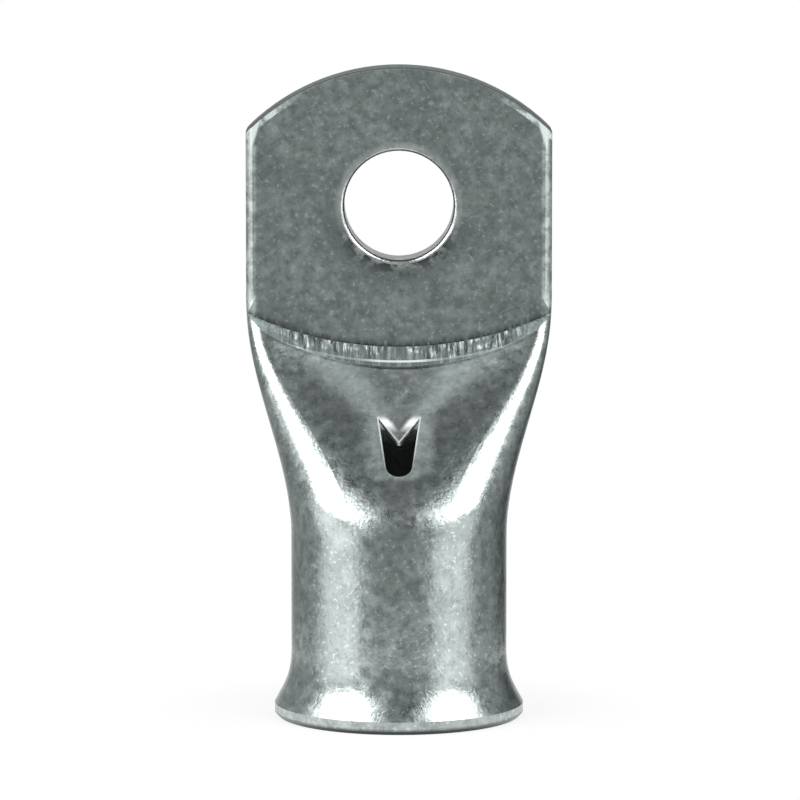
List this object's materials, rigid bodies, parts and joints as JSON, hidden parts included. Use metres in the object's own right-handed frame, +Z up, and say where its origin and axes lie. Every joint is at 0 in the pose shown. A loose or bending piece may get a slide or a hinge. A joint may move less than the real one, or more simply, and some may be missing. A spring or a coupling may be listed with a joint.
{
  "type": "compression lug",
  "caption": "Tubular cable lug with a belled wire mouth, a barrel with a sight hole and a flat palm with a stud hole.",
  "frame": {"origin": "centre of the wire mouth, on the surface that the lug stands on", "axes": "+Z up along the barrel's axis to the palm, +Y to the palm's flat back, -Y to the pressed front with the sight hole, +X across the palm"},
  "size_m": [0.0236, 0.019, 0.0492],
  "materials": {
    "tinned_copper": "satin"
  },
  "bodies": {
    "root": {"lug": "tinned_copper"}
  },
  "joints": []
}
